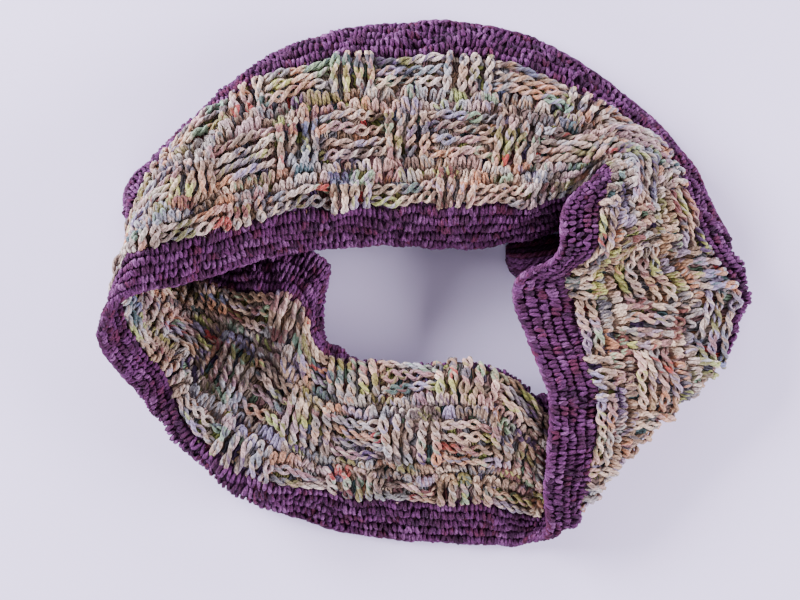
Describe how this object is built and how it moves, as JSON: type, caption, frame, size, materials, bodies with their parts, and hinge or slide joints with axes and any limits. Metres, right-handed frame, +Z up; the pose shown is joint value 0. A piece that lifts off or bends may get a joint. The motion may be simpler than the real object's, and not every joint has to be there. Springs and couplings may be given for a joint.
{
  "type": "infinity scarf",
  "caption": "Crocheted infinity scarf in basketweave stitch with a border along each edge, dropped in an open ring with a folded corner and a pleat.",
  "frame": {"origin": "on the surface the scarf lies on, under the middle of its bounding box", "axes": "+Z up, +X from the high turn on the left to the folded side on the right, +Y from the front stretch to the back stretch"},
  "size_m": [0.3324, 0.2824, 0.0645],
  "materials": {
    "plum_yarn": "matte wool yarn",
    "mixed_yarn": "matte space-dyed wool yarn"
  },
  "bodies": {
    "root": {"base_border_left": "plum_yarn", "body_left": "mixed_yarn", "upper_border_left": "plum_yarn", "base_border_front": "plum_yarn", "body_front": "mixed_yarn", "upper_border_front": "plum_yarn", "base_border_corner": "plum_yarn", "body_corner": "mixed_yarn", "upper_border_corner": "plum_yarn", "base_border_right": "plum_yarn", "body_right": "mixed_yarn", "upper_border_right": "plum_yarn", "base_border_back": "plum_yarn", "body_back": "mixed_yarn", "upper_border_back": "plum_yarn", "pleat_tuck": "plum_yarn"}
  },
  "joints": []
}
